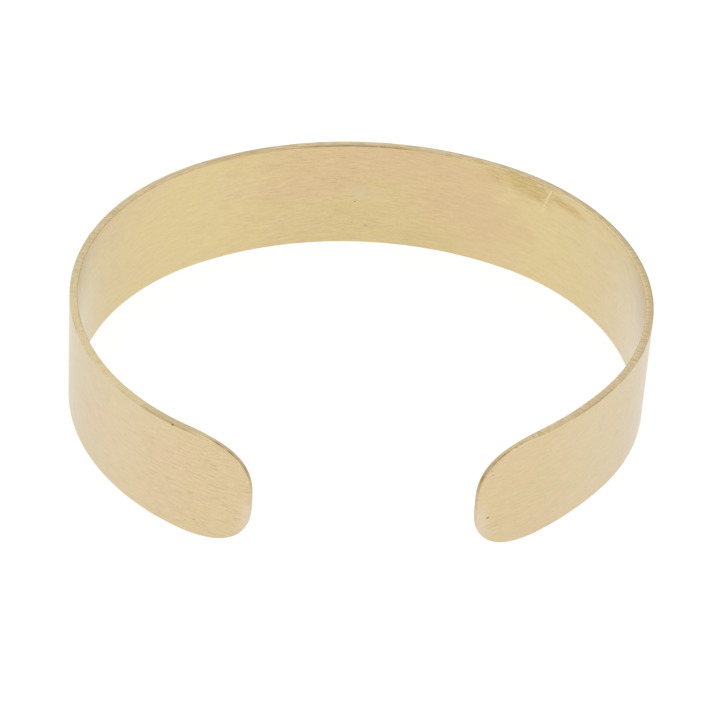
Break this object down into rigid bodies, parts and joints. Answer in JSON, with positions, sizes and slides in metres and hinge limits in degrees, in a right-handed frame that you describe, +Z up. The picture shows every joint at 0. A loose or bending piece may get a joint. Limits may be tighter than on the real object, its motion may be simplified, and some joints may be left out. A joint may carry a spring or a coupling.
{
  "type": "cuff bracelet",
  "caption": "Plain open cuff bracelet: one flat strip of brushed brass with rounded ends, bent to an oval with a gap.",
  "frame": {"origin": "middle of the footprint, on the side edge that the cuff rests on", "axes": "+Z up through the wrist's hollow, -Y out through the gap, +X along the long way across the oval"},
  "size_m": [0.059, 0.052, 0.0127],
  "materials": {
    "brass": "raw, brushed along the strip"
  },
  "bodies": {
    "root": {"cuff_band": "brass"}
  },
  "joints": []
}
